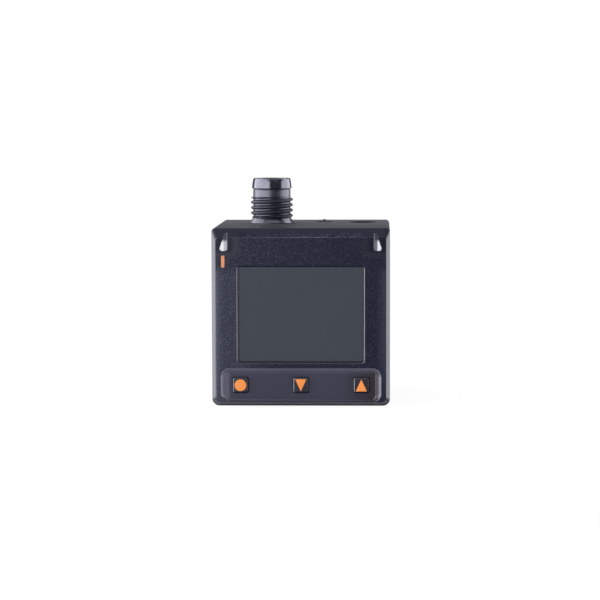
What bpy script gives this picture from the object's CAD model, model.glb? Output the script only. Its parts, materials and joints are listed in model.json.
import json
import math
from functools import partial

import bmesh
import bpy
from bpy.props import FloatProperty, FloatVectorProperty, IntProperty, PointerProperty
from mathutils import Matrix, Vector


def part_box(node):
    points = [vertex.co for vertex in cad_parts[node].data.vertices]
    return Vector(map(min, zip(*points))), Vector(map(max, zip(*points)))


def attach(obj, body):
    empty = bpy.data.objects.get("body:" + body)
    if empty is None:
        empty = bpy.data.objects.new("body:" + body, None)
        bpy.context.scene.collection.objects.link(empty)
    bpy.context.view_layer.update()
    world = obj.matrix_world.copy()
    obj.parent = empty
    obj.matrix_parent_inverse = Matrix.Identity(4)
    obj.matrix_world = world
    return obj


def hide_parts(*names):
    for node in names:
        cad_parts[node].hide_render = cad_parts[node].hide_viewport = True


bl_info = {
    "name": "Pressure sensor",
    "version": (1, 0, 0),
    "blender": (4, 5, 0),
    "location": "View3D > Sidebar > Sensor",
    "description": "Cuts the threads, prints the marks and gives the finishes of a compact pressure sensor",
    "category": "Object",
}

# The packed sensor: its box, its mounts and the places that the looks are set against
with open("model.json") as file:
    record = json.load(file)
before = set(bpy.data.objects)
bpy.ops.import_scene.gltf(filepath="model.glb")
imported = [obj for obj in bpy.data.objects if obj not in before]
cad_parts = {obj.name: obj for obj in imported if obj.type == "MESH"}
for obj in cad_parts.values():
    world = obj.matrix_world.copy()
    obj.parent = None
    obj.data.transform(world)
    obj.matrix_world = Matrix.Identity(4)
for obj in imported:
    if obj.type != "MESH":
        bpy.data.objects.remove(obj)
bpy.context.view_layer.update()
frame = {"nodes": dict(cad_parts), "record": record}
MOUNTS = {mount["name"]: mount for mount in frame["record"]["mounts"]}
MM = 0.001
MICRON = 1e-6

COVER_LOW, COVER_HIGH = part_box("front_cover")
PLUG_LOW, PLUG_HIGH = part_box("connector_sleeve")
PORT_LOW, PORT_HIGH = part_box("process_port")
INSERT_LOW, INSERT_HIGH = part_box("mounting_inserts")
GUIDE_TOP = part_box("light_guide_right")[1].z
VENT_LOW, VENT_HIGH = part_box("vent_membrane")
PLUG = (PLUG_LOW + PLUG_HIGH) / 2
VENT = (VENT_LOW + VENT_HIGH) / 2
THREAD_LENGTH = MOUNTS["m8_plug"]["dims"]["length_mm"] * MM
THREAD_LOW = MOUNTS["m8_plug"]["pos_m"][2] - THREAD_LENGTH / 2
THREAD_HIGH = THREAD_LOW + THREAD_LENGTH
THREAD_RADIUS = MOUNTS["m8_plug"]["dims"]["r_mm"] * MM
FRONT = COVER_LOW.y
BODY_TOP = COVER_HIGH.z
KEYS = ("enter", "down", "up")
UP, DOWN = (0.0, 0.0, 1.0), (0.0, 0.0, -1.0)
LEFTWARD, RIGHTWARD = (-1.0, 0.0, 0.0), (1.0, 0.0, 0.0)
FRONTWARD = (0.0, -1.0, 0.0)
WHITE = (1.0, 1.0, 1.0)


# Settings

def length(name, description, millimetres):
    """A length: written in millimetres, kept in metres."""
    default = millimetres * MM
    return FloatProperty(name=name, description=description, default=default, precision=5, unit="LENGTH")


def span(name, description, start, end):
    """Two lengths, written in millimetres, between which a finish changes."""
    default = (start * MM, end * MM)
    return FloatVectorProperty(
        name=name, description=description, default=default, size=2, precision=5, unit="LENGTH"
    )


def share(name, description, value):
    return FloatProperty(
        name=name, description=description, default=value, min=0.0, max=1.0, subtype="FACTOR"
    )


def turn(name, description, degrees):
    return FloatProperty(name=name, description=description, default=math.radians(degrees), subtype="ANGLE")


def level(name, description, value):
    return FloatProperty(name=name, description=description, default=value, min=0.0)


def colour(name, description, value):
    return FloatVectorProperty(
        name=name, description=description, default=value, size=3, min=0.0, max=1.0, subtype="COLOR"
    )


class ThreadSettings(bpy.types.PropertyGroup):
    """Turns of the plug's, the port's and the inserts' threads"""

    plug_pitch: length("Plug pitch", "Rise of the plug's thread in one turn", 1.0)
    plug_depth: length("Plug depth", "Height of the plug's thread from root to crest", 0.45)
    plug_start: turn("Plug start", "Angle at which the plug's thread begins", -61.0)
    port_pitch: length("Port pitch", "Rise of the port's pipe thread in one turn", 0.907)
    port_depth: length("Port depth", "Height of the port's pipe thread", 0.581)
    insert_pitch: length("Insert pitch", "Rise of the inserts' thread in one turn", 0.5)
    insert_depth: length("Insert depth", "Height of the inserts' thread", 0.25)
    crest: share("Crest", "Share of the pitch that the flat crest takes", 0.22)
    root: share("Root", "Share of the pitch that the flat root takes", 0.2)
    rows: IntProperty(name="Rows", description="Rows of faces in one turn's height", default=20, min=6)
    segments: IntProperty(name="Segments", description="Faces round a turned piece", default=128, min=24)


class PlugSettings(bpy.types.PropertyGroup):
    """Turned form of the plug"""

    stem_radius: length("Stem radius", "Stem through the housing wall", 3.4)
    edge_height: length("Edge height", "Upright edge of the base flange", 0.12)
    flare_radius: length("Flare radius", "Narrow end of the flared base", 3.6)
    flare_height: length("Flare height", "Flared base above the housing", 0.95)
    run_out: length("Run-out", "Chamfer at both ends of the thread", 0.2)
    neck_radius: length("Neck radius", "Neck above the thread", 3.5)
    groove_radius: length("Groove radius", "Bottom of the snap groove", 3.4)
    groove_height: length("Groove height", "Upright bottom of the snap groove", 0.14)
    groove_slope: length("Groove slope", "Slope from the snap groove out to the collar", 0.15)
    collar_radius: length("Collar radius", "Widest part of the snap collar", 3.7)
    collar_height: length("Collar height", "Snap collar, from its widest part to the mouth", 1.89)
    tip_radius: length("Tip radius", "Outer edge at the plug's mouth", 3.48)
    mouth: length("Mouth", "Chamfer on both edges of the mouth", 0.15)
    bore_radius: length("Bore radius", "Bore round the contacts", 2.8)
    shoulder_depth: length("Shoulder depth", "Bore's shoulder below the housing top", 2.0)
    tail_radius: length("Tail radius", "Bore below the shoulder", 2.4)
    rounding: length("Rounding", "Radius on the moulded edges", 0.09)


class PortSettings(bpy.types.PropertyGroup):
    """Turned form of the process port and the inserts"""

    mouth_radius: length("Mouth radius", "Countersink at the port's mouth", 5.0)
    thread_end: length("Thread end", "Depth of the port's thread", 8.0)
    web: length("Web", "Wall between the thread and the cell's pocket", 1.6)
    channel_radius: length("Channel radius", "Channel to the measuring cell", 1.25)
    pocket_radius: length("Pocket radius", "Pocket of the measuring cell", 5.2)
    stem_radius: length("Stem radius", "Stem through the rear wall", 6.25)
    flange_thickness: length("Flange thickness", "Flange against the rear wall", 1.2)
    rounding: length("Rounding", "Broken edges of the turned pieces", 0.12)
    insert_radius: length("Insert radius", "Lands of an insert", 2.5)
    insert_waist: length("Insert waist", "Waist between the lands", 2.15)
    insert_land: length("Insert land", "Length of a land", 1.8)
    insert_mouth: length("Insert mouth", "Countersink of an insert's thread", 0.3)


class PrintSettings(bpy.types.PropertyGroup):
    """Printed marks on the keys and on the cover"""

    dot_size: length("Dot", "Diameter of the round mark", 2.1)
    arrow_width: length("Arrow width", "Width of the two triangles", 2.0)
    arrow_height: length("Arrow height", "Height of the two triangles", 2.2)
    corner: length("Corner", "Rounding of the marks' corners", 0.14)
    bar_width: length("Bar width", "Width of the bar on the cover", 0.60)
    bar_height: length("Bar height", "Height of the bar on the cover", 2.1)
    bar_x: length("Bar across", "Middle of the bar, from the middle of the cover", -13.91)
    bar_z: length("Bar up", "Middle of the bar, from the base", 26.05)
    ink: length("Ink", "Height of the ink on a key", 0.02)
    bar_ink: length("Bar ink", "Height of the ink on the cover", 0.008)
    colour: colour("Ink colour", "Orange ink on the keys", (0.725, 0.228, 0.042))
    bar_colour: colour("Bar colour", "Thinner orange ink on the cover", (0.51, 0.211, 0.090))


class ZoneSettings(bpy.types.PropertyGroup):
    """Where the finishes of the cover, the window and the light guides change"""

    skin: length("Skin", "Depth up to which a point lies on the flat front", 0.05)
    rim_depth: length("Rim depth", "Depth of the polished rims", 0.2)
    rim_reach: length("Rim reach", "Half width of the part of the front that has rims", 14.7)
    rim_up: span("Rims, up", "Heights between which the front has rims", 0.65, 25.0)
    tray_depth: length("Tray depth", "Depth that the key tray ends within", 0.8)
    tray_top: length("Tray top", "Height that the key tray ends below", 7.2)
    tray_wall: span("Tray wall", "Heights over which the tray's floor pales up to its wall", 5.7, 6.45)
    tray_end: length("Tray end", "Half width at which the tray's floor pales to its left end", 12.6)
    slope_foot: length("Slope foot", "Depth of the duller lower half of the tray's slopes", 0.3)
    corner_across: span("Corners, across", "Half widths over which the front turns smooth", 10.6, 12.6)
    corner_up: span("Corners, up", "Heights over which the front's corners turn smooth", 26.4, 28.2)
    side_across: span("Side, across", "Half widths over which the front pales to the left", 7.5, 11.5)
    side_up: span("Sides, up", "Heights over which the pale sides fade", 23.5, 25.5)
    edge_across: span("Edges, across", "Half widths over which the front pales to its edges", 13.5, 15.2)
    edge_fade: length("Edge fade", "Height over which the right edge starts to pale", 10.0)
    foot: span("Foot", "Heights over which the smooth strip along the base fades", 0.6, 0.8)
    foot_reach: length("Foot reach", "Height that the paler undersides lie below", 3.0)
    crest_low: length("Crest, low", "Height above which the top bevel's crest lies", 29.5)
    crest_reach: length("Crest reach", "Half width of the polished crest", 12.8)
    bevel: span("Bevel", "Heights over which the top bevel's grain fades", 30.8, 31.75)
    patch_across: length("Patch, across", "Half width of the dull oval round the vent", 2.9)
    patch_along: length("Patch, along", "Half length of the dull oval round the vent", 4.7)
    patch_back: length("Patch, back", "How far the oval's middle lies behind the vent's", 0.6)
    patch_depth: length("Patch depth", "Depth of the vent's recess", 1.5)
    opening_left: length("Opening, left", "Left edge of the window's opening", -11.32)
    opening_low: length("Opening, low", "Lower edge of the window's opening", 7.875)
    border: length("Border", "Width of the dark border under the window's edge", 0.32)
    guide_split: length("Guide split", "Half width at which a light guide turns milky", 13.75)
    guide_face: length("Guide face", "Half width of a light guide's inner edge", 13.25)
    guide_blend: length("Guide blend", "Half width over which the milky part clears", 0.09)
    guide_end: span("Guide end", "Distances below a light guide's top over which it darkens", 1.65, 1.15)
    collar: length("Collar", "Polished end of the plug, from its mouth down", 2.0)
    collar_blend: length("Collar blend", "Half height over which the collar's polish ends", 0.2)
    rubbed_depth: length("Rubbed depth", "Depth over which the thread's crests are rubbed", 0.3)


class FinishSettings(bpy.types.PropertyGroup):
    """Colours and textures of the sensor's pieces"""

    cover: colour("Cover", "Grained front of the cover", (0.0010, 0.0018, 0.0108))
    cover_side: colour("Cover, sides", "Paler grain on the left of the front", (0.0065, 0.0085, 0.0185))
    cover_edge: colour("Cover, edges", "Grained front next to the side bevels", (0.036, 0.038, 0.052))
    cover_speck: colour("Cover, specks", "Light that the tips of the grain add", (0.0235, 0.024, 0.0325))
    cover_smooth: colour("Cover, smooth", "Smooth edges of the cover", (0.0070, 0.0077, 0.0168))
    cover_corner: colour("Cover, corners", "Corners round the light guides", (0.0025, 0.0032, 0.0105))
    tray: colour("Key tray", "Smooth floor round the keys", (0.0325, 0.0325, 0.0495))
    tray_pale: colour("Key tray, pale", "Left end and upper wall of the tray", (0.095, 0.095, 0.125))
    tray_dark: colour("Key tray, dark", "Right end of the tray", (0.022, 0.0175, 0.024))
    foot: colour("Foot", "Smooth strip along the base", (0.075, 0.074, 0.080))
    hole: colour("Key holes", "Lit walls of the key holes", (0.20, 0.20, 0.225))
    rim: colour("Rims", "Polished rims of the tray and of the window opening", (0.105, 0.106, 0.128))
    rim_bright: colour("Rims, bright", "Rims that face the right, and the crest", (0.165, 0.166, 0.195))
    rim_dim: colour("Rims, dim", "Rims that face up", (0.020, 0.020, 0.030))
    housing: colour("Housing", "Satin housing", (0.023, 0.0222, 0.030))
    dust: colour("Dust", "Dust on the housing's top", (0.4, 0.39, 0.37))
    key: colour("Keys", "Satin keys", (0.012, 0.013, 0.020))
    key_edge: colour("Keys, edges", "Rubbed edges of the keys", (0.14, 0.14, 0.16))
    window: colour("Window", "Smoked window pane", (0.0372, 0.0428, 0.0503))
    border: colour("Border", "Dark border under the window's edge", (0.020, 0.022, 0.031))
    guide: colour("Light guides", "Milky light guides", (0.65, 0.65, 0.645))
    guide_clear: colour("Light guides, clear", "Inner strip of the left light guide", (0.33, 0.33, 0.34))
    guide_shade: colour("Light guides, shaded", "Inner strip of the right one", (0.120, 0.120, 0.135))
    guide_line: colour("Light guides, line", "Inner edge of their upper end", (0.125, 0.125, 0.145))
    guide_dark: colour("Light guides, dark", "Upper end, clear over the dark cover", (0.03, 0.03, 0.04))
    plug: colour("Plug", "Glossy plug", (0.006, 0.0065, 0.012))
    plug_sheen: colour("Plug sheen", "Tint of the plug's reflections", (0.89, 0.88, 1.0))
    steel: colour("Steel", "Turned stainless steel", (0.62, 0.62, 0.61))
    brass: colour("Brass", "Brass inserts", (0.72, 0.53, 0.24))
    gold: colour("Contacts", "Gold plated contacts", (0.83, 0.62, 0.27))
    rubber: colour("Seals", "Rubber seals", (0.028, 0.028, 0.028))
    patch: colour("Vent patch", "Dull moulding round the vent", (0.012, 0.012, 0.014))
    vent: colour("Vent", "Porous vent film", (0.005, 0.005, 0.006))
    board: colour("Boards", "Solder resist on the boards", (0.03, 0.14, 0.07))
    copper: colour("Tracks", "Tracks under the solder resist", (0.06, 0.24, 0.11))
    moulding: colour("Inner mouldings", "Black inner mouldings", (0.035, 0.035, 0.035))
    frame: colour("Display frame", "White display frame", (0.75, 0.75, 0.73))
    glass: colour("Display", "Unlit display panel", (0.05, 0.055, 0.065))
    grain_size: length("Grain", "Size of the cover's grain", 0.29)
    grain_depth: length("Grain depth", "Depth of the cover's grain", 0.006)
    edge: length("Edges", "Rounding of the moulded edges", 0.14)


class StageSettings(bpy.types.PropertyGroup):
    """Camera, lights and floor"""

    azimuth: turn("Azimuth", "Camera to the right of the front", 2.042)
    elevation: turn("Elevation", "Camera above the horizon", 4.799)
    roll: turn("Roll", "Turn of the camera about its view", -0.164)
    distance: length("Distance", "Camera from the point that it looks at", 400.0)
    target: FloatVectorProperty(
        name="Target", description="Point that the camera looks at", size=3, precision=5,
        subtype="TRANSLATION", unit="LENGTH", default=(-0.134 * MM, -15.5 * MM, 19.083 * MM),
    )
    lens: level("Lens", "Focal length in millimetres on the sensor", 133.81)
    sensor: level("Sensor", "Width of the camera's sensor in millimetres", 36.0)
    left_level: level("Left light", "Radiance of the softboxes on the left", 6.1)
    right_level: level("Right light", "Radiance of the softbox on the right", 4.8)
    high_level: level("High lights", "Radiance of the two softboxes high at the sides", 3.1)
    top_level: level("Top light", "Radiance of the softbox above", 1.3)
    rear_level: level("Rear light", "Radiance of the softbox behind", 0.75)
    strip_level: level("Front strip", "Radiance of the thin strip high in front", 1.5)
    tint: colour("Tint", "Cool white of the softboxes", (0.93, 0.925, 1.0))
    fill: level("Fill", "Radiance of the room round the object", 0.22)
    low_fill: level("Low fill", "Radiance of the room below the object", 0.04)
    fill_tint: colour("Fill tint", "Cool white of the room", (0.88, 0.90, 1.0))
    background: level("Background", "Share of plain white in the floor", 0.9)
    floor: colour("Floor", "Pale floor", (0.5, 0.5, 0.5))
    floor_reach: length("Floor reach", "Half width of the floor", 500.0)
    floor_fade: span("Floor fade", "Distances over which the floor turns plain white", 50.0, 140.0)


# Meshes

# Edges sharper than this stay sharp
CREASE = math.radians(32)
# Points of a turned piece that lie closer than this are one point
SEAM = 0.2 * MICRON
# Largest share of a side that the rounding of a corner takes, and its points
ROOM = 0.4
ROUNDING_STEPS = 4
# An ink patch stands upright to this share of its thickness, then draws in by a share of its size
INK_UPRIGHT = 0.6
INK_EDGE = 0.06


def finish_mesh(name, mesh_data):
    """Object from a bmesh, smooth but for its creases."""
    bmesh.ops.recalc_face_normals(mesh_data, faces=mesh_data.faces)
    mesh = bpy.data.meshes.new(name)
    mesh_data.to_mesh(mesh)
    mesh_data.free()
    mesh.polygons.foreach_set("use_smooth", [True] * len(mesh.polygons))
    mesh.set_sharp_from_angle(angle=CREASE)
    piece = bpy.data.objects.new(name, mesh)
    bpy.context.collection.objects.link(piece)
    return piece


def bridge(mesh_data, loops):
    """Faces between each loop of points and the next one."""
    for loop, following in zip(loops, loops[1:]):
        for index in range(len(loop) - 1):
            mesh_data.faces.new((loop[index], loop[index + 1], following[index + 1], following[index]))


def rounded(points, radius):
    """Open outline whose inner corners are rounded off, as far as their sides leave room."""
    points = [Vector(point) for point in points]
    outline = [points[0]]
    for before, corner, after in zip(points, points[1:], points[2:]):
        back = (before - corner) * min(radius / (before - corner).length, ROOM)
        onward = (after - corner) * min(radius / (after - corner).length, ROOM)
        for step in range(ROUNDING_STEPS + 1):
            along = step / ROUNDING_STEPS
            outline.append(corner + back * (1 - along) ** 2 + onward * along ** 2)
    return outline + points[-1:]


def closed_rounded(corners, radius):
    """Closed outline with all its corners rounded."""
    outline = []
    for index, corner in enumerate(corners):
        around = [corners[index - 1], corner, corners[(index + 1) % len(corners)]]
        outline.extend(rounded(around, radius)[1:-1])
    return outline


def thread_height(settings, turns):
    """Height of the thread's form, 1 on the crest and 0 in the root, so many turns from a crest."""
    off_crest = abs(turns - round(turns))
    flank = 0.5 - (settings.crest + settings.root) / 2
    rise = min(max((0.5 - settings.root / 2 - off_crest) / flank, 0.0), 1.0)
    return rise * rise * (3 - 2 * rise)


def plain_rings(outline):
    """Rings of a plain turned stretch, from its outline of (radius, height) points."""
    return [lambda angle, radius=radius, height=height: (radius, height) for radius, height in outline]


def thread_rings(low, high, pitch, rows, radius_at):
    """Rings that climb with a thread: radius_at gives the radius at a height and an angle."""
    def ring(start, angle):
        height = min(max(start + pitch * angle / math.tau, low), high)
        return radius_at(height, angle), height

    count = math.ceil((high - low) / pitch * rows)
    return [partial(ring, low + pitch * index / rows) for index in range(1 - rows, count)]


def turned_piece(name, rings, segments, placements):
    """Closed turned piece, once at each placement. A ring gives the radius and the height at an angle."""
    mesh_data = bmesh.new()
    for placement in placements:
        loops = []
        for ring in rings:
            loop = []
            for index in range(segments + 1):
                angle = math.tau * index / segments
                radius, height = ring(angle)
                point = Vector((radius * math.cos(angle), radius * math.sin(angle), height))
                loop.append(mesh_data.verts.new(placement @ point))
            loops.append(loop)
        bridge(mesh_data, loops + loops[:1])
    bmesh.ops.remove_doubles(mesh_data, verts=mesh_data.verts, dist=SEAM)
    return finish_mesh(name, mesh_data)


def ink_patch(name, outline, surface, thickness):
    """Printed mark on a surface that faces the front: outline points are (x, z) in the row frame."""
    centre = sum((Vector(point) for point in outline), Vector((0.0, 0.0))) / len(outline)
    mesh_data = bmesh.new()
    loops = []
    for rise, inset in ((0.0, 0.0), (INK_UPRIGHT, 0.0), (1.0, INK_EDGE)):
        loop = []
        for point in outline:
            x, z = Vector(point).lerp(centre, inset)
            loop.append(mesh_data.verts.new((x, surface - thickness * rise, z)))
        loops.append(loop)
    bridge(mesh_data, [loop + loop[:1] for loop in loops])
    mesh_data.faces.new(loops[0])
    mesh_data.faces.new(loops[-1])
    return finish_mesh(name, mesh_data)


# Shader nodes

def sign(operation):
    """Sign between two signals, which adds a Math node of this operation."""
    return lambda self, other: self.nodes.math(operation, self, other)


class Signal:
    """What a node puts out. Sums, products and comparisons of signals add Math nodes to its tree."""

    __add__ = sign("ADD")
    __sub__ = sign("SUBTRACT")
    __mul__ = sign("MULTIPLY")
    __truediv__ = sign("DIVIDE")
    __pow__ = sign("POWER")
    __gt__ = sign("GREATER_THAN")
    __lt__ = sign("LESS_THAN")

    def __init__(self, nodes, socket):
        self.nodes = nodes
        self.socket = socket

    def __rsub__(self, other):
        return self.nodes.math("SUBTRACT", other, self)

    def __abs__(self):
        return self.nodes.math("ABSOLUTE", self)


class Nodes:
    """Fills one tree. An input takes a signal or a plain value, a colour as its red, green and blue."""

    def __init__(self, tree):
        self.tree = tree
        tree.nodes.clear()

    def add(self, kind, inputs=None, **settings):
        node = self.tree.nodes.new(kind)
        for name, value in settings.items():
            setattr(node, name, value)
        for key, value in (inputs or {}).items():
            self.feed(node.inputs[key], value)
        return node

    def signal(self, kind, output, inputs=None, **settings):
        return Signal(self, self.add(kind, inputs, **settings).outputs[output])

    def feed(self, socket, value):
        if isinstance(value, Signal):
            self.tree.links.new(value.socket, socket)
        else:
            socket.default_value = (*value, 1.0) if socket.type == "RGBA" else value

    def math(self, operation, *values, clamp=False):
        inputs = dict(enumerate(values))
        return self.signal("ShaderNodeMath", 0, inputs, operation=operation, use_clamp=clamp)

    def most(self, first, *others):
        for other in others:
            first = self.math("MAXIMUM", first, other)
        return first

    def reach(self, across, along):
        return self.math("SQRT", across * across + along * along)

    def fade(self, value, limits, start=0.0, end=1.0):
        """Runs from start to end while the value runs from the first limit to the second."""
        low, high = limits
        inputs = {"Value": value, "From Min": low, "From Max": high, "To Min": start, "To Max": end}
        return self.signal("ShaderNodeMapRange", "Result", inputs)

    def between(self, mask, start, end):
        """Runs from start to end over a mask."""
        return self.fade(mask, (0.0, 1.0), start, end)

    def within(self, value, limits):
        low, high = limits
        return (value > low) * (value < high)

    def noise(self, vector, scale, detail, roughness, **others):
        inputs = {"Vector": vector, "Scale": scale, "Detail": detail, "Roughness": roughness, **others}
        return self.signal("ShaderNodeTexNoise", "Fac", inputs)

    def mix(self, factor, first, second):
        return self.signal("ShaderNodeMix", 2, {0: factor, 6: first, 7: second}, data_type="RGBA")

    def vector(self, operation, output, first, second):
        return self.signal("ShaderNodeVectorMath", output, {0: first, 1: second}, operation=operation)

    def scaled(self, colour_value, factor):
        inputs = {0: colour_value, "Scale": factor}
        return self.signal("ShaderNodeVectorMath", "Vector", inputs, operation="SCALE")

    def split(self, vector):
        outputs = self.add("ShaderNodeSeparateXYZ", {"Vector": vector}).outputs
        return [Signal(self, socket) for socket in outputs]

    def facing(self, direction):
        """How far the surface faces a direction, from -1 to 1."""
        normal = self.signal("ShaderNodeNewGeometry", "True Normal")
        return self.vector("DOT_PRODUCT", "Value", normal, direction)

    def leaning(self, direction, limits):
        """Mask of what faces a direction, with the cosines at which that starts and ends."""
        return self.fade(self.facing(direction), limits)

    def soft_edges(self, radius):
        return self.signal("ShaderNodeBevel", "Normal", {"Radius": radius}, samples=4)

    def bump(self, height, distance, normal=None):
        inputs = {"Height": height, "Distance": distance}
        if normal is not None:
            inputs["Normal"] = normal
        return self.signal("ShaderNodeBump", "Normal", inputs)

    def rays(self, *kinds):
        """Masks of the camera's, the reflections' or other rays."""
        outputs = self.add("ShaderNodeLightPath").outputs
        return [Signal(self, outputs["Is " + kind + " Ray"]) for kind in kinds]

    def blend(self, factor, first, second):
        """Shader mixed from two."""
        return self.signal("ShaderNodeMixShader", "Shader", {0: factor, 1: first, 2: second})


class Coat(Nodes):
    """Material with one Principled shader, whose plain values are given by name."""

    def __init__(self, name, **constants):
        self.material = bpy.data.materials.new(name)
        self.material.use_nodes = True
        super().__init__(self.material.node_tree)
        self.shader = self.add("ShaderNodeBsdfPrincipled")
        for label, value in constants.items():
            self.feed(self.shader.inputs[label.replace("_", " ")], value)
        self.lit = Signal(self, self.shader.outputs["BSDF"])
        self.output = self.add("ShaderNodeOutputMaterial", {"Surface": self.lit})
        self.place = self.signal("ShaderNodeTexCoord", "Object")

    def group(self, name, output, **inputs):
        return self.signal("ShaderNodeGroup", output, inputs, node_tree=bpy.data.node_groups[name])

    def grain(self, finish, finer, depth, mask=None):
        """Specks and normal of the mould's grain: so many times finer and so deep as the cover's."""
        height = self.group("Mould grain", "Height", Vector=self.place, Scale=finer / finish.grain_size)
        specks = Signal(self, height.socket.node.outputs["Specks"])
        masked = height if mask is None else height * mask
        return specks, self.bump(masked, finish.grain_depth * depth, self.soft_edges(finish.edge))

    def drift(self, colour_value, scale, spread):
        return self.group(
            "Tone drift", "Color", Color=colour_value, Vector=self.place, Scale=scale, Spread=spread
        )

    def worn(self, colour_value, radius, scale, gain):
        """Colour that is brighter on rubbed edges."""
        wear = self.group("Edge wear", "Mask", Radius=radius, Vector=self.place, Scale=scale)
        return self.scaled(colour_value, wear * gain + 1.0)

    def smudged(self, scale, clean, smudge):
        """Roughness where the surface is clean and where it is smudged."""
        mask = self.group("Smudges", "Mask", Vector=self.place, Scale=scale)
        return self.between(mask, clean, smudge)

    def done(self, base, roughness, normal=None):
        """Material whose shader gets these."""
        self.feed(self.shader.inputs["Base Color"], base)
        self.feed(self.shader.inputs["Roughness"], roughness)
        if normal is not None:
            self.feed(self.shader.inputs["Normal"], normal)
        return self.material


# Most of a noise's values lie between these two
NOISE_SPAN = (0.3, 0.7)
# The crest breaks between these two
BREAK_SPAN = (0.35, 0.6)
# Sockets that most effects have
PLACED = {"Vector": "Vector", "Scale": "Float"}
MASK = {"Mask": "Float"}


def start_group(name, inputs, outputs):
    """Empty shader node group with its sockets: gives its nodes, its inputs and its output node."""
    tree = bpy.data.node_groups.new(name, "ShaderNodeTree")
    nodes = Nodes(tree)
    for way, sockets in (("INPUT", inputs), ("OUTPUT", outputs)):
        for label, kind in sockets.items():
            tree.interface.new_socket(label, in_out=way, socket_type="NodeSocket" + kind)
    given = {socket.name: Signal(nodes, socket) for socket in nodes.add("NodeGroupInput").outputs}
    return nodes, given, nodes.add("NodeGroupOutput").inputs


def build_mould_grain():
    """Spark-eroded grain of a mould: its height, and the specks where single grains stand out."""
    nodes, given, made = start_group("Mould grain", PLACED, {"Height": "Float", "Specks": "Float"})
    fine = nodes.noise(given["Vector"], given["Scale"], detail=3.0, roughness=0.6)
    cells = nodes.add("ShaderNodeTexVoronoi", {"Vector": given["Vector"], "Scale": given["Scale"]}).outputs
    chance = nodes.signal("ShaderNodeSeparateColor", "Red", {"Color": Signal(nodes, cells["Color"])})
    bare_share, edge_to_tip = 0.4, (0.55, 0.1)
    grains = nodes.fade(Signal(nodes, cells["Distance"]), edge_to_tip) * (chance > bare_share)
    fine_height, fine_specks, grain_specks = 0.6, 0.5, 0.6
    nodes.feed(made["Height"], fine * fine_height + grains)
    nodes.feed(made["Specks"], nodes.fade(fine, NOISE_SPAN) * fine_specks + grains * grain_specks)


def build_tone_drift():
    """Slow drift of a colour's tone over a moulding."""
    inputs = {"Color": "Color", **PLACED, "Spread": "Float"}
    nodes, given, made = start_group("Tone drift", inputs, {"Color": "Color"})
    drift = nodes.noise(given["Vector"], given["Scale"], detail=3.0, roughness=0.55)
    factor = nodes.fade(drift, NOISE_SPAN, -1.0, 1.0) * given["Spread"] + 1.0
    nodes.feed(made["Color"], nodes.scaled(given["Color"], factor))


def build_edge_wear():
    """Polish where edges rub: 1 on worn edges, broken up along their length."""
    nodes, given, made = start_group("Edge wear", {"Radius": "Float", **PLACED}, MASK)
    flat = nodes.signal("ShaderNodeNewGeometry", "Normal")
    along = nodes.vector("DOT_PRODUCT", "Value", nodes.soft_edges(given["Radius"]), flat)
    patches = nodes.noise(given["Vector"], given["Scale"], detail=3.0, roughness=0.6)
    edge_bend, patch_span = (0.985, 0.9), (0.35, 0.65)
    nodes.feed(made["Mask"], nodes.fade(along, edge_bend) * nodes.fade(patches, patch_span))


def build_settled_dust():
    """Fine dust on surfaces that face up, thicker in patches."""
    nodes, given, made = start_group("Settled dust", PLACED, MASK)
    lying, patch_span, speck_span, speck_scale = (0.5, 0.95), (0.4, 0.75), (0.5, 0.7), 14.0
    patches = nodes.noise(given["Vector"], given["Scale"], detail=4.0, roughness=0.6)
    specks = nodes.noise(given["Vector"], given["Scale"] * speck_scale, detail=2.0, roughness=0.5)
    dusty = nodes.leaning(UP, lying) * nodes.fade(patches, patch_span)
    nodes.feed(made["Mask"], dusty * nodes.fade(specks, speck_span))


def build_tool_lines():
    """Fine lines that a cutter leaves along a turned piece."""
    sockets = {"Along": "Float", "Scale": "Float"}
    nodes, given, made = start_group("Tool lines", sockets, {"Height": "Float"})
    inputs = {"W": given["Along"], "Scale": given["Scale"], "Detail": 3.0, "Roughness": 0.65}
    lines = nodes.signal("ShaderNodeTexNoise", "Fac", inputs, noise_dimensions="1D")
    nodes.feed(made["Height"], lines)


def build_smudges():
    """Faint smudges of handling on smooth surfaces."""
    nodes, given, made = start_group("Smudges", PLACED, MASK)
    cloud = nodes.noise(given["Vector"], given["Scale"], detail=4.0, roughness=0.6, Distortion=1.2)
    smudge_span = (0.4, 0.7)
    nodes.feed(made["Mask"], nodes.fade(cloud, smudge_span))


def dress(material, *pieces):
    """Give pieces, or CAD nodes by name, this material alone."""
    for piece in pieces:
        data = (frame["nodes"][piece] if isinstance(piece, str) else piece).data
        data.materials.clear()
        data.materials.append(material)


# Cosines of the angles by which faces lean: a flat front, the tray's slopes, the top bevel and its crest,
# the walls of the key holes, faces that lean to a side, undersides, level tops and rubbed sides of the keys
FLAT = 0.98
SLOPE = 0.95
BEVEL = (0.5, FLAT)
CREST = (0.91, 0.993)
HOLE_WALL = (-0.5, 0.5)
LEANING = (0.1, 0.3)
UNDERSIDE = (0.15, 0.4)
LEVEL_TOP = (0.8, 0.95)
RUBBED = (0.2, 0.6)


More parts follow.
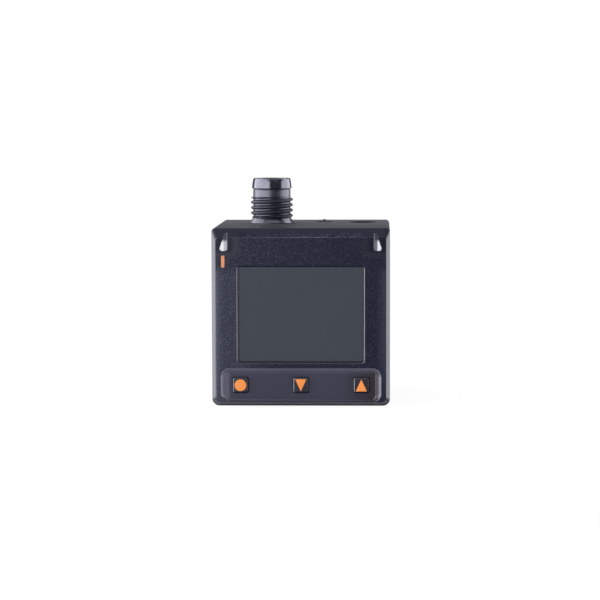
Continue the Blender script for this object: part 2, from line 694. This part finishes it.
def cover_grain(finish, zones):
    """Front cover: grained front and top bevel, smooth edges, smooth upper corners and a paler key tray."""
    wall_share, right_share, side_gain, wear_gain = 0.36, 0.5, 0.7, 0.4
    front_gain, bevel_gain = (1.1, 0.8), (0.2, 1.8)
    crest_right, crest_left, crest_breaks = (0.2, 0.85), (0.5, 1.0), (0.3, 0.95)
    edge_gloss, field_gloss, slope_dullness = 0.34, 0.2, 0.4
    coat = Coat("cover_grain")
    x, y, z = coat.split(coat.place)
    leftward, beside, depth = x * -1.0, abs(x), y - FRONT
    frontal = coat.facing(FRONTWARD)
    rightward = coat.leaning(RIGHTWARD, LEANING)
    flat = (frontal > FLAT) * (depth < zones.skin)
    aside = coat.fade(beside, zones.corner_across)
    corner = aside * coat.fade(z, zones.corner_up) * flat
    field = flat * (1.0 - corner)
    bevel = coat.within(frontal, BEVEL) * (z > zones.crest_low) * coat.fade(z, zones.bevel, 1.0, 0.0)
    bevel = bevel * (1.0 - aside)
    grained = coat.most(field, bevel)
    sunk = (z < zones.tray_top) * (beside < zones.rim_reach) * (depth > zones.rim_depth)
    tray = sunk * (depth < zones.tray_depth)

    # Grained front, paler to its left and its edges
    under_window = coat.fade(z, zones.side_up, 1.0, 0.0)
    left_side = coat.fade(leftward, zones.side_across) * under_window
    left_edge = coat.fade(leftward, zones.edge_across) ** 2.0
    right_edge = coat.fade(x, zones.edge_across) * coat.fade(z, (0.0, zones.edge_fade), end=right_share)
    ground = coat.mix(left_side, finish.cover, finish.cover_side)
    ground = coat.mix(coat.most(left_edge, right_edge) * under_window, ground, finish.cover_edge)
    base = coat.mix(grained, finish.cover_smooth, ground)
    base = coat.mix(corner, base, finish.cover_corner)

    # Key tray, its holes and the strip along the base
    pale = coat.most(
        coat.fade(z, zones.tray_wall, end=wall_share),
        coat.fade(leftward, (zones.tray_end, zones.tray_end + zones.tray_depth)),
        z > zones.tray_wall[1],
    )
    floor = coat.mix(coat.fade(x, (zones.side_across[0], zones.tray_end)), finish.tray, finish.tray_dark)
    base = coat.mix(tray, base, coat.mix(pale, floor, finish.tray_pale))
    underside = coat.leaning(DOWN, UNDERSIDE) * (z < zones.foot_reach)
    base = coat.mix(coat.most(coat.fade(z, zones.foot, 1.0, 0.0), underside), base, finish.foot)
    base = coat.mix(sunk * rightward * coat.within(frontal, HOLE_WALL), base, finish.hole)

    # Polished rims and the broken crest of the top bevel
    rim = (frontal < FLAT) * (depth < zones.rim_depth) * (beside < zones.rim_reach)
    polish = coat.mix(rightward, finish.rim, finish.rim_bright)
    polish = coat.mix(coat.leaning(UP, LEANING), polish, finish.rim_dim)
    base = coat.mix(rim * coat.within(z, zones.rim_up), base, polish)
    crest = coat.within(frontal, CREST) * (beside < zones.crest_reach) * (z > zones.crest_low)
    crest = crest * coat.fade(x, (zones.crest_reach, 0.0), *crest_right)
    crest = crest * coat.fade(leftward, (zones.crest_reach, 0.0), *crest_left)
    breaks = coat.noise(coat.place, scale=900.0, detail=3.0, roughness=0.6)
    crest = crest * coat.fade(breaks, BREAK_SPAN, *crest_breaks)
    base = coat.mix(crest, base, finish.rim_bright)
    base = coat.drift(base, scale=90.0, spread=0.1)

    # Specks of the grain, stronger on the left side and on the bevel
    specks, normal = coat.grain(finish, finer=1.0, depth=1.0, mask=grained)
    width = (-zones.edge_across[1], zones.edge_across[1])
    on_bevel = bevel * coat.fade(x, width, *bevel_gain)
    stronger = left_side * side_gain + coat.fade(x, width, *front_gain) + on_bevel
    lights = coat.scaled(finish.cover_speck, specks * grained * stronger)
    base = coat.vector("ADD", "Vector", base, lights)
    base = coat.worn(base, finish.edge, scale=900.0, gain=wear_gain)
    gloss = coat.between(coat.most(grained, tray, corner), edge_gloss, field_gloss)
    slope_foot = tray * (frontal < SLOPE) * (depth > zones.slope_foot)
    return coat.done(base, slope_foot * slope_dullness + gloss, normal)


def housing_satin(finish, zones):
    """Rear housing: satin moulding with a finer grain, a dull oval round the vent and dust on top."""
    dust_share, patch_dullness, oval_edge, tone_to_rear = 0.06, 0.5, (1.12, 0.9), (-0.45, 0.4)
    coat = Coat("housing_satin")
    x, y, z = coat.split(coat.place)
    specks, normal = coat.grain(finish, finer=1.4, depth=0.5)
    base = coat.drift(finish.housing, scale=110.0, spread=0.12)
    base = coat.worn(base, finish.edge, scale=700.0, gain=0.5)
    dust = coat.group("Settled dust", "Mask", Vector=coat.place, Scale=160.0)
    base = coat.mix(dust * dust_share, base, finish.dust)
    paler_to_rear = coat.fade(y, (COVER_HIGH.y, PORT_HIGH.y), *tone_to_rear)
    base = coat.scaled(base, coat.leaning(UP, LEVEL_TOP) * paler_to_rear + 1.0)
    across = (x - VENT.x) / zones.patch_across
    along = (y - (VENT.y + zones.patch_back)) / zones.patch_along
    patch = coat.fade(across * across + along * along, oval_edge) * (z > BODY_TOP - zones.patch_depth)
    base = coat.mix(patch, base, finish.patch)
    base = coat.mix(patch * (z < BODY_TOP - zones.skin), base, finish.vent)
    satin = coat.between(specks, start=0.5, end=0.62)
    roughness = coat.math("MULTIPLY_ADD", patch, patch_dullness, satin, clamp=True)
    return coat.done(base, roughness, normal)


def key_satin(finish):
    """Keys: satin black, with rubbed edges where they face up or left."""
    top_share = 0.35
    coat = Coat("key_satin")
    specks, normal = coat.grain(finish, finer=2.0, depth=0.25)
    rubbed = coat.most(coat.leaning(UP, RUBBED) * top_share, coat.leaning(LEFTWARD, RUBBED))
    base = coat.mix(rubbed, finish.key, finish.key_edge)
    base = coat.worn(coat.drift(base, scale=300.0, spread=0.1), finish.edge, scale=1500.0, gain=0.8)
    return coat.done(base, coat.between(specks, start=0.24, end=0.34), normal)


def window_smoke(finish, zones):
    """Smoked pane: even grey-blue with a thin dark border and faint smudges in its gloss."""
    coat = Coat("window_smoke")
    x, _, z = coat.split(coat.place)
    border = coat.most(x < zones.opening_left + zones.border, z < zones.opening_low + zones.border)
    base = coat.drift(coat.mix(border, finish.window, finish.border), scale=60.0, spread=0.015)
    return coat.done(base, coat.smudged(120.0, clean=0.12, smudge=0.17), coat.soft_edges(finish.edge))


def guide_milk(finish, zones):
    """Light guides: milky outer part, clear inner strip and an upper end that shows the dark behind it."""
    coat = Coat("guide_milk", Coat_Weight=0.4, Coat_Roughness=0.08)
    x, _, z = coat.split(coat.place)
    blend = zones.guide_blend
    outward = coat.fade(abs(x), (zones.guide_split - blend, zones.guide_split + blend))
    on_face = coat.fade(abs(x), (zones.guide_face - blend / 2, zones.guide_face + blend / 2))
    clear = coat.mix(x > 0.0, finish.guide_clear, finish.guide_shade)
    base = coat.mix(outward, clear, finish.guide)
    end = coat.mix(on_face, finish.guide_line, finish.guide_dark)
    base = coat.mix(coat.fade(GUIDE_TOP - z, zones.guide_end), base, end)
    base = coat.drift(base, scale=500.0, spread=0.05)
    return coat.done(base, coat.smudged(400.0, clean=0.16, smudge=0.26), coat.soft_edges(finish.edge))


def plug_moulding(name, finish, specular):
    """Black moulding of the plug, with the faint rings that its turned mould leaves."""
    coat = Coat(name, Specular_IOR_Level=specular, Specular_Tint=finish.plug_sheen)
    base = coat.drift(finish.plug, scale=250.0, spread=0.12)
    sharper = 0.6
    base = coat.worn(base, finish.edge * sharper, scale=1200.0, gain=0.8)
    x, y, z = coat.split(coat.place)
    lines = coat.group("Tool lines", "Height", Along=z, Scale=9000.0)
    return coat, base, coat.bump(lines, distance=4 * MICRON), (x, y, z)


def plug_gloss(finish, zones):
    """Plug's collar, neck and base: a polished collar above a satin neck, and a smoother base."""
    coat, base, normal, (_, _, z) = plug_moulding("plug_gloss", finish, specular=0.9)
    collar_low = PLUG_HIGH.z - zones.collar
    limits = (collar_low + zones.collar_blend, collar_low - zones.collar_blend)
    polished, neck_satin, base_polish = 0.12, 0.36, -0.14
    satin = coat.fade(z, limits, polished, neck_satin) + (z < THREAD_LOW) * base_polish
    return coat.done(base, coat.smudged(300.0, clean=0.0, smudge=0.05) + satin, normal)


def plug_thread(finish, zones):
    """Plug's thread: satin roots and duller, rubbed crests."""
    coat, base, normal, (x, y, _) = plug_moulding("plug_thread", finish, specular=0.55)
    rubbed = (THREAD_RADIUS - zones.rubbed_depth, THREAD_RADIUS)
    reach = coat.reach(x - PLUG.x, y - PLUG.y)
    return coat.done(base, coat.fade(reach, rubbed, start=0.4, end=0.62), normal)


# Roughness that smudges add to metal, and that the grain's specks add to the inner mouldings
SMUDGE_ROUGHNESS = 0.12
SPECK_ROUGHNESS = 0.1


def turned_metal(name, metal, line_depth, polish):
    """Turned metal: cutter lines along the rear axis and round it, with a drift in its polish."""
    coat = Coat(name, Metallic=1.0)
    x, y, z = coat.split(coat.place)
    lines = coat.group("Tool lines", "Height", Along=y + coat.reach(x, z), Scale=7000.0)
    base = coat.drift(metal, scale=180.0, spread=0.07)
    roughness = coat.smudged(350.0, polish, polish + SMUDGE_ROUGHNESS)
    return coat.done(base, roughness, coat.bump(lines, line_depth))


def moulded(name, base_colour, finish, roughness):
    """Plain moulding inside the sensor: fine texture and a slow drift in tone."""
    coat = Coat(name)
    specks, normal = coat.grain(finish, finer=1.6, depth=0.3)
    base = coat.drift(base_colour, scale=200.0, spread=0.1)
    return coat.done(base, coat.between(specks, roughness, roughness + SPECK_ROUGHNESS), normal)


def vent_film(finish):
    """Porous film of the vent: dark, dull and finely pitted."""
    coat = Coat("vent_film", Specular_IOR_Level=0.0)
    inputs = {"Vector": coat.place, "Scale": 5000.0}
    pores = coat.signal("ShaderNodeTexVoronoi", "Distance", inputs, feature="SMOOTH_F1")
    pit = (0.0, 0.6)
    base = coat.drift(finish.vent, scale=400.0, spread=0.15)
    base = coat.scaled(base, coat.fade(pores, pit, start=0.6, end=1.2))
    roughness = coat.fade(pores, pit, start=0.9, end=0.75)
    return coat.done(base, roughness, coat.bump(pores, distance=20 * MICRON))


def board_resist(finish):
    """Circuit boards: tracks that show through the solder resist."""
    coat = Coat("board_resist")
    x, _, z = coat.split(coat.place)
    flat = coat.signal("ShaderNodeCombineXYZ", "Vector", {"X": x, "Y": z})
    inputs = {"Vector": flat, "Scale": 260.0, "Mortar Size": 0.06, "Brick Width": 1.3, "Row Height": 0.45}
    tracks = coat.signal("ShaderNodeTexBrick", "Fac", inputs, offset=0.35)
    base = coat.drift(coat.mix(tracks, finish.board, finish.copper), scale=150.0, spread=0.08)
    roughness = coat.smudged(200.0, clean=0.3, smudge=0.42)
    return coat.done(base, roughness, coat.bump(tracks, distance=25 * MICRON))


def smooth(name, colour_value, drift, smudges, **constants):
    """Smooth piece: drift is its scale and spread, smudges their scale and the two roughnesses."""
    coat = Coat(name, **constants)
    return coat.done(coat.drift(colour_value, *drift), coat.smudged(*smudges))


def lamp_lens(finish):
    drift, smudges = (800.0, 0.08), (600.0, 0.2, 0.35)
    return smooth("lamp_lens", finish.guide, drift, smudges, Coat_Weight=0.5)


def display_glass(finish):
    drift, smudges = (80.0, 0.03), (150.0, 0.08, 0.14)
    return smooth("display_glass", finish.glass, drift, smudges, Coat_Weight=0.3)


def ink_orange(name, ink_colour):
    """Printed ink: slightly uneven in tone and in gloss."""
    drift, smudges = (2500.0, 0.06), (1500.0, 0.42, 0.55)
    return smooth(name, ink_colour, drift, smudges, Specular_IOR_Level=0.3)


# Operators, one for each piece or group of like pieces

class SENSOR_OT_effects(bpy.types.Operator):
    """Build the shared effects: grain, tone drift, edge wear, dust, tool lines and smudges"""

    bl_idname = "sensor.effects"
    bl_label = "Build effects"

    def execute(self, context):
        build_mould_grain()
        build_tone_drift()
        build_edge_wear()
        build_settled_dust()
        build_tool_lines()
        build_smudges()
        return {"FINISHED"}


# Curves of the plug's flared base and of its barrel-shaped collar
CURVE_STEPS = 10
FLARE_BEND = 1.25
BARREL_BEND = 1.6
# Radius that the chamfers at the thread's two ends gain for each length along it
LEAD_IN = 1.3
LEAD_OUT = 2.15


class SENSOR_OT_plug(bpy.types.Operator):
    """Make the plug with its thread"""

    bl_idname = "sensor.plug"
    bl_label = "Cut plug"

    def execute(self, context):
        plug = context.scene.sensor_plug
        thread = context.scene.sensor_thread
        flange_radius = (PLUG_HIGH.x - PLUG_LOW.x) / 2
        flare_low = BODY_TOP + plug.edge_height
        flare_high = BODY_TOP + plug.flare_height
        collar_low = PLUG_HIGH.z - plug.collar_height
        groove_high = collar_low - plug.groove_slope
        groove_low = groove_high - plug.groove_height
        neck_low = THREAD_HIGH + plug.run_out
        mouth_low = PLUG_HIGH.z - plug.mouth
        shoulder = BODY_TOP - plug.shoulder_depth

        def radius_at(height, angle):
            """Thread cut to its root, and kept under the chamfers at its two ends."""
            turns = (height - THREAD_LOW) / thread.plug_pitch - (angle - thread.plug_start) / math.tau
            cut = THREAD_RADIUS - thread.plug_depth * (1 - thread_height(thread, turns))
            lead_in = plug.flare_radius + max(height - flare_high, 0.0) * LEAD_IN
            lead_out = plug.neck_radius + max(neck_low - height, 0.0) * LEAD_OUT
            return min(cut, lead_in, lead_out)

        stem = [
            (plug.tail_radius, PLUG_LOW.z),
            (plug.stem_radius, PLUG_LOW.z),
            (plug.stem_radius, BODY_TOP),
            (flange_radius, BODY_TOP),
            (flange_radius, flare_low),
        ]
        flare = []
        barrel = [(plug.collar_radius, collar_low)]
        for step in range(1, CURVE_STEPS + 1):
            along = step / CURVE_STEPS
            radius = plug.flare_radius + (flange_radius - plug.flare_radius) * (1 - along) ** FLARE_BEND
            flare.append((radius, flare_low + (flare_high - flare_low) * along))
            radius = plug.collar_radius - (plug.collar_radius - plug.tip_radius) * along ** BARREL_BEND
            barrel.append((radius, collar_low + (mouth_low - collar_low) * along))
        neck = [
            (plug.neck_radius, neck_low),
            (plug.neck_radius, groove_low),
            (plug.groove_radius, groove_low),
            (plug.groove_radius, groove_high),
            barrel[0],
            barrel[1],
        ]
        mouth = [
            barrel[-1],
            (plug.tip_radius - plug.mouth, PLUG_HIGH.z),
            (plug.bore_radius + plug.mouth, PLUG_HIGH.z),
            (plug.bore_radius, mouth_low),
            (plug.bore_radius, shoulder),
            (plug.tail_radius, shoulder),
        ]
        outline = rounded(neck, plug.rounding)[:-1] + barrel[1:-1] + rounded(mouth, plug.rounding)
        rings = plain_rings(rounded(stem, plug.edge_height / 3) + flare)
        rings += thread_rings(flare_high, neck_low, thread.plug_pitch, thread.rows, radius_at)
        rings += plain_rings(outline)
        place = Matrix.Translation((PLUG.x, PLUG.y, 0.0))
        piece = turned_piece("plug", rings, thread.segments, [place])
        looks = context.scene.sensor_finish, context.scene.sensor_zones
        dress(plug_gloss(*looks), piece)
        piece.data.materials.append(plug_thread(*looks))
        for face in piece.data.polygons:
            face.material_index = int(THREAD_LOW < face.center.z < THREAD_HIGH)
        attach(piece, "sensor_body")
        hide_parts("connector_sleeve")
        return {"FINISHED"}


# Turns a piece that is drawn upright so that its height runs towards the rear
REARWARD = Matrix.Rotation(math.radians(-90), 4, "X")
# Depth of a cutter's lines in steel and brass, and in the plating of the contacts
CUTTER_LINES = 3 * MICRON
PLATED_LINES = 1.5 * MICRON


class SENSOR_OT_port(bpy.types.Operator):
    """Make the process port with its pipe thread"""

    bl_idname = "sensor.port"
    bl_label = "Cut port"

    def execute(self, context):
        port = context.scene.sensor_port
        thread = context.scene.sensor_thread
        core_radius = MOUNTS["process_port"]["dims"]["r_mm"] * MM
        front, rear = PORT_LOW.y, PORT_HIGH.y
        thread_front = rear - port.thread_end
        pocket_floor = thread_front - port.web
        flange_radius = (PORT_HIGH.x - PORT_LOW.x) / 2
        flange_front = rear - port.flange_thickness

        def radius_at(height, angle):
            """Thread cut into the bore, running out at its inner end and opened by the countersink."""
            turns = (height - thread_front) / thread.port_pitch - angle / math.tau
            run_out = min((height - thread_front) / thread.port_pitch, 1.0)
            cut = core_radius + thread.port_depth * (1 - thread_height(thread, turns)) * run_out
            return max(cut, port.mouth_radius - (rear - height))

        outside = [
            (port.mouth_radius, rear),
            (flange_radius, rear),
            (flange_radius, flange_front),
            (port.stem_radius, flange_front),
            (port.stem_radius, front),
            (port.pocket_radius, front),
            (port.pocket_radius, pocket_floor),
            (port.channel_radius, pocket_floor),
            (port.channel_radius, thread_front),
            (core_radius, thread_front),
        ]
        rings = plain_rings(rounded(outside, port.rounding))
        rings += thread_rings(thread_front, rear, thread.port_pitch, thread.rows, radius_at)
        place = Matrix.Translation((0.0, 0.0, MOUNTS["process_port"]["pos_m"][2])) @ REARWARD
        piece = turned_piece("port", rings, thread.segments, [place])
        steel = turned_metal("port_steel", context.scene.sensor_finish.steel, CUTTER_LINES, polish=0.36)
        dress(steel, piece, "pressure_cell", "cell_retainer", "connector_nut")
        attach(piece, "sensor_body")
        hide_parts("process_port")
        return {"FINISHED"}


class SENSOR_OT_inserts(bpy.types.Operator):
    """Make the two threaded inserts of the rear wall"""

    bl_idname = "sensor.inserts"
    bl_label = "Cut inserts"

    def execute(self, context):
        port = context.scene.sensor_port
        thread = context.scene.sensor_thread
        mount = MOUNTS["mounting_holes"]
        core_radius = mount["dims"]["hole_r_mm"] * MM
        mouth_radius = core_radius + port.insert_mouth
        front, rear = INSERT_LOW.y, INSERT_HIGH.y

        def radius_at(height, angle):
            """Thread cut into the bore and opened by a countersink at both ends."""
            turns = (height - front) / thread.insert_pitch - angle / math.tau
            cut = core_radius + thread.insert_depth * (1 - thread_height(thread, turns))
            return max(cut, mouth_radius - min(rear - height, height - front))

        outside = [
            (mouth_radius, rear),
            (port.insert_radius, rear),
            (port.insert_radius, rear - port.insert_land),
            (port.insert_waist, rear - port.insert_land),
            (port.insert_waist, front + port.insert_land),
            (port.insert_radius, front + port.insert_land),
            (port.insert_radius, front),
            (mouth_radius, front),
        ]
        rings = plain_rings(rounded(outside, port.rounding))
        rings += thread_rings(front, rear, thread.insert_pitch, thread.rows, radius_at)
        half_spacing = mount["dims"]["spacing_x_mm"] * MM / 2
        places = []
        for side in (-1, 1):
            places.append(Matrix.Translation((half_spacing * side, 0.0, mount["pos_m"][2])) @ REARWARD)
        piece = turned_piece("inserts", rings, thread.segments // 2, places)
        brass = turned_metal("insert_brass", context.scene.sensor_finish.brass, CUTTER_LINES, polish=0.26)
        dress(brass, piece)
        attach(piece, "sensor_body")
        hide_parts("mounting_inserts")
        return {"FINISHED"}


DOT_POINTS = 48


class SENSOR_OT_marks(bpy.types.Operator):
    """Print the keys' marks and the bar on the cover"""

    bl_idname = "sensor.marks"
    bl_label = "Print marks"

    def execute(self, context):
        marks = context.scene.sensor_print
        ink = ink_orange("key_ink", marks.colour)
        low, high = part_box("down_key")
        z = (low.z + high.z) / 2
        for key in KEYS:
            low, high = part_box(key + "_key")
            x = (low.x + high.x) / 2
            if key == "enter":
                outline = []
                for index in range(DOT_POINTS):
                    angle = math.tau * index / DOT_POINTS
                    radius = marks.dot_size / 2
                    outline.append((x + radius * math.cos(angle), z + radius * math.sin(angle)))
            else:
                half_height = marks.arrow_height / 2 * (1 if key == "up" else -1)
                corners = [
                    (x - marks.arrow_width / 2, z - half_height),
                    (x + marks.arrow_width / 2, z - half_height),
                    (x, z + half_height),
                ]
                outline = closed_rounded(corners, marks.corner)
            piece = ink_patch(key + "_mark", outline, low.y, marks.ink)
            dress(ink, piece)
            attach(piece, key + "_button")
        left, right = marks.bar_x - marks.bar_width / 2, marks.bar_x + marks.bar_width / 2
        foot, head = marks.bar_z - marks.bar_height / 2, marks.bar_z + marks.bar_height / 2
        outline = closed_rounded([(left, foot), (right, foot), (right, head), (left, head)], marks.corner)
        piece = ink_patch("cover_mark", outline, FRONT, marks.bar_ink)
        dress(ink_orange("bar_ink", marks.bar_colour), piece)
        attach(piece, "sensor_body")
        return {"FINISHED"}


class SENSOR_OT_shells(bpy.types.Operator):
    """Finish the cover, the housing and the vent"""

    bl_idname = "sensor.shells"
    bl_label = "Finish shells"

    def execute(self, context):
        finish = context.scene.sensor_finish
        zones = context.scene.sensor_zones
        dress(cover_grain(finish, zones), "front_cover")
        dress(housing_satin(finish, zones), "rear_housing")
        dress(vent_film(finish), "vent_membrane")
        return {"FINISHED"}


class SENSOR_OT_keys(bpy.types.Operator):
    """Finish the keys and what they press"""

    bl_idname = "sensor.keys"
    bl_label = "Finish keys"

    def execute(self, context):
        finish = context.scene.sensor_finish
        dress(key_satin(finish), *(key + "_key" for key in KEYS))
        switch = moulded("switch_black", finish.moulding, finish, roughness=0.5)
        dress(switch, "key_switches", *(key + "_plunger" for key in KEYS))
        return {"FINISHED"}


class SENSOR_OT_display(bpy.types.Operator):
    """Finish the window, the display behind it and the light guides"""

    bl_idname = "sensor.display"
    bl_label = "Finish display"

    def execute(self, context):
        finish = context.scene.sensor_finish
        zones = context.scene.sensor_zones
        dress(window_smoke(finish, zones), "display_window")
        dress(display_glass(finish), "display_panel")
        dress(moulded("frame_white", finish.frame, finish, roughness=0.45), "display_frame")
        dress(guide_milk(finish, zones), "light_guide_left", "light_guide_right")
        dress(lamp_lens(finish), "status_leds")
        return {"FINISHED"}


class SENSOR_OT_inside(bpy.types.Operator):
    """Finish the seals, the boards, the contacts and the fasteners"""

    bl_idname = "sensor.inside"
    bl_label = "Finish inside"

    def execute(self, context):
        finish = context.scene.sensor_finish
        rubber = moulded("seal_rubber", finish.rubber, finish, roughness=0.7)
        dress(rubber, "window_gasket", "cover_seal", "cell_o_ring", "port_o_ring", "connector_o_ring")
        dress(board_resist(finish), "display_board", "main_board")
        chip = moulded("chip_black", finish.moulding, finish, roughness=0.42)
        dress(chip, "controller_chip", "board_connector")
        dress(moulded("carrier_black", finish.moulding, finish, roughness=0.38), "contact_carrier")
        gold = turned_metal("contact_gold", finish.gold, PLATED_LINES, polish=0.2)
        dress(gold, "contact_pins", "cell_pins")
        dress(turned_metal("screw_steel", finish.steel, CUTTER_LINES, polish=0.32), "display_screws")
        return {"FINISHED"}


# Stage

SOFTBOX_DISTANCE = 0.55
# Heights of a world direction between which the room's fill darkens
ROOM_HORIZON = (-0.5, -0.3)
CLIP_START = 0.01


def view_axes(azimuth, elevation):
    """Directions to the viewer, to the right and up, for a place round the object's front."""
    back = Vector((
        math.sin(azimuth) * math.cos(elevation),
        -math.cos(azimuth) * math.cos(elevation),
        math.sin(elevation),
    ))
    right = Vector(UP).cross(back).normalized()
    return back, right, back.cross(right)


def pose_matrix(place, right, up, back):
    """World matrix of a camera or a light that looks against its back direction."""
    matrix = Matrix((right, up, back)).transposed().to_4x4()
    matrix.translation = place
    return matrix


def add_softbox(name, azimuth, elevation, size, radiance, tint):
    """Rectangular soft light that faces the middle of the sensor, hidden from the camera."""
    width, height = size
    target = Vector((0.0, 0.0, BODY_TOP / 2))
    data = bpy.data.lights.new(name, "AREA")
    data.shape = "RECTANGLE"
    data.size = width
    data.size_y = height
    data.energy = radiance * math.pi * width * height
    data.color = tint
    light = bpy.data.objects.new(name, data)
    back, right, up = view_axes(math.radians(azimuth), math.radians(elevation))
    light.matrix_world = pose_matrix(target + back * SOFTBOX_DISTANCE, right, up, back)
    light.visible_camera = False
    bpy.context.collection.objects.link(light)


def studio_white(stage):
    """Pale floor that the camera, reflections and clear pieces see nearly white, with its shadows kept."""
    coat = Coat("studio_white", Roughness=0.9)
    camera, glossy, through = coat.rays("Camera", "Glossy", "Transmission")
    coat.feed(coat.shader.inputs["Base Color"], coat.mix(camera, stage.floor, WHITE))
    white = coat.signal("ShaderNodeEmission", "Emission", {"Color": WHITE, "Strength": 1.0})
    away = coat.signal("ShaderNodeVectorMath", "Value", {0: coat.place}, operation="LENGTH")
    factor = coat.most(camera, glossy, through) * coat.fade(away, stage.floor_fade, stage.background, 1.0)
    coat.feed(coat.output.inputs["Surface"], coat.blend(factor, coat.lit, white))
    return coat.material


def add_floor(stage):
    """Flat floor under the sensor."""
    reach = stage.floor_reach
    mesh = bpy.data.meshes.new("floor")
    corners = [(-reach, -reach, 0.0), (reach, -reach, 0.0), (reach, reach, 0.0), (-reach, reach, 0.0)]
    mesh.from_pydata(corners, [], [(0, 1, 2, 3)])
    sheet = bpy.data.objects.new("floor", mesh)
    bpy.context.collection.objects.link(sheet)
    dress(studio_white(stage), sheet)
    sheet.visible_glossy = False
    sheet.visible_shadow = False


def light_room(stage):
    """World: plain white to the camera, a cool fill that is darker below the object to everything else."""
    world = bpy.data.worlds.new("room")
    world.use_nodes = True
    nodes = Nodes(world.node_tree)
    camera, through = nodes.rays("Camera", "Transmission")
    height = nodes.split(nodes.signal("ShaderNodeTexCoord", "Generated"))[2]
    strength = nodes.fade(height, ROOM_HORIZON, stage.low_fill, stage.fill)
    inputs = {"Color": stage.fill_tint, "Strength": strength}
    dim = nodes.signal("ShaderNodeBackground", "Background", inputs)
    white = nodes.signal("ShaderNodeBackground", "Background", {"Color": WHITE, "Strength": 1.0})
    mixed = nodes.blend(nodes.most(camera, through), dim, white)
    nodes.add("ShaderNodeOutputWorld", {"Surface": mixed})
    bpy.context.scene.world = world


class SENSOR_OT_stage(bpy.types.Operator):
    """Set the floor, the lights and the camera"""

    bl_idname = "sensor.stage"
    bl_label = "Set stage"

    def execute(self, context):
        stage = context.scene.sensor_stage
        context.scene.view_settings.view_transform = "Standard"
        light_room(stage)
        add_floor(stage)
        # Azimuth and elevation in degrees, width and height in metres, radiance
        softboxes = (
            ("left_front", -40.0, 6.0, (0.60, 0.32), stage.left_level),
            ("left_side", -95.0, 2.0, (0.56, 0.36), stage.left_level),
            ("left_high", -110.0, 42.0, (0.72, 0.50), stage.high_level),
            ("right_side", 99.0, 2.0, (0.83, 0.36), stage.right_level),
            ("right_high", 115.0, 38.0, (0.50, 0.33), stage.high_level),
            ("above", 0.0, 90.0, (0.45, 0.45), stage.top_level),
            ("behind", 180.0, 55.0, (0.60, 0.30), stage.rear_level),
            ("front_high", 0.0, 28.0, (0.80, 0.05), stage.strip_level),
        )
        for name, azimuth, elevation, size, radiance in softboxes:
            add_softbox(name, azimuth, elevation, size, radiance, stage.tint)

        data = bpy.data.cameras.new("camera")
        data.sensor_width = stage.sensor
        data.lens = stage.lens
        data.clip_start = CLIP_START
        camera = bpy.data.objects.new("camera", data)
        back, right, up = view_axes(stage.azimuth, stage.elevation)
        right, up = (
            right * math.cos(stage.roll) + up * math.sin(stage.roll),
            up * math.cos(stage.roll) - right * math.sin(stage.roll),
        )
        camera.matrix_world = pose_matrix(Vector(stage.target) + back * stage.distance, right, up, back)
        context.collection.objects.link(camera)
        context.scene.camera = camera
        return {"FINISHED"}


OPERATORS = (
    SENSOR_OT_effects,
    SENSOR_OT_plug,
    SENSOR_OT_port,
    SENSOR_OT_inserts,
    SENSOR_OT_marks,
    SENSOR_OT_shells,
    SENSOR_OT_keys,
    SENSOR_OT_display,
    SENSOR_OT_inside,
    SENSOR_OT_stage,
)
SETTINGS = {
    "sensor_thread": ThreadSettings,
    "sensor_plug": PlugSettings,
    "sensor_port": PortSettings,
    "sensor_print": PrintSettings,
    "sensor_zones": ZoneSettings,
    "sensor_finish": FinishSettings,
    "sensor_stage": StageSettings,
}


class SENSOR_PT_panel(bpy.types.Panel):
    """Steps that dress the sensor, and their settings"""

    bl_idname = "SENSOR_PT_panel"
    bl_label = "Pressure sensor"
    bl_space_type = "VIEW_3D"
    bl_region_type = "UI"
    bl_category = "Sensor"

    def draw(self, context):
        for operator in OPERATORS:
            self.layout.operator(operator.bl_idname)
        for name, settings in SETTINGS.items():
            box = self.layout.box()
            box.label(text=settings.__doc__)
            for label in settings.__annotations__:
                box.prop(getattr(context.scene, name), label)


CLASSES = (*SETTINGS.values(), *OPERATORS, SENSOR_PT_panel)


def register():
    for item in CLASSES:
        bpy.utils.register_class(item)
    for name, settings in SETTINGS.items():
        setattr(bpy.types.Scene, name, PointerProperty(type=settings))


def unregister():
    for name in SETTINGS:
        delattr(bpy.types.Scene, name)
    for item in reversed(CLASSES):
        bpy.utils.unregister_class(item)


def main():
    register()
    bpy.ops.sensor.effects()
    bpy.ops.sensor.plug()
    bpy.ops.sensor.port()
    bpy.ops.sensor.inserts()
    bpy.ops.sensor.marks()
    bpy.ops.sensor.shells()
    bpy.ops.sensor.keys()
    bpy.ops.sensor.display()
    bpy.ops.sensor.inside()
    bpy.ops.sensor.stage()


if __name__ == "__main__":
    main()
